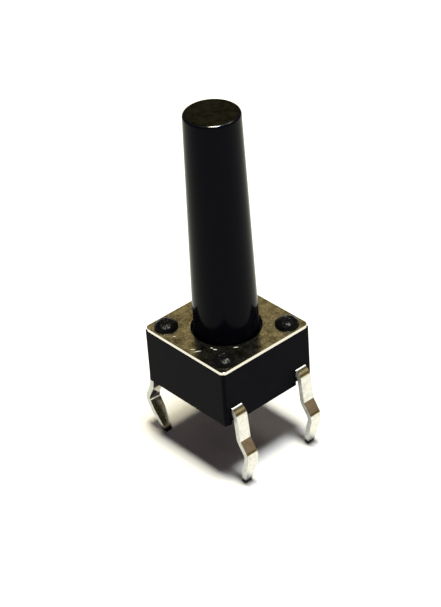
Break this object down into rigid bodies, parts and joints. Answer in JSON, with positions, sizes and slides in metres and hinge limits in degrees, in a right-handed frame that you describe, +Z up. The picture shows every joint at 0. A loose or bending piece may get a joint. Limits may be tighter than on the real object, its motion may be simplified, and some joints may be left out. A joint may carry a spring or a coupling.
{
  "type": "tactile push button switch",
  "caption": "Square through-hole tactile switch with a long tapered round button, a riveted sheet cover and kinked solder legs.",
  "frame": {"origin": "centre of the housing's seat on the circuit board", "axes": "+Z up along the button, away from the board; X across the two sides that carry the legs, 6.5 mm apart in the board; Y along each side's pair of legs, 4.5 mm apart"},
  "size_m": [0.008, 0.006, 0.0195],
  "materials": {
    "base_plastic": "moulded black nylon, satin",
    "button_plastic": "moulded black nylon, soft sheen",
    "cover_sheet": "bright tin-plated steel sheet, lightly scratched",
    "dome_sheet": "rolled stainless spring sheet",
    "plated_brass": "silver-plated brass strip"
  },
  "bodies": {
    "housing": {"base": "base_plastic", "cover": "cover_sheet", "contact_dome": "dome_sheet", "centre_terminal": "plated_brass", "outer_terminal": "plated_brass"},
    "button": {"plunger": "button_plastic"}
  },
  "joints": [
    {"name": "button_press", "type": "slide", "parent": "housing", "child": "button", "axis": [0, 0, -1], "range_m": [0, 0.00025], "stiffness_N_per_m": 6400, "deforming": ["contact_dome"]}
  ]
}
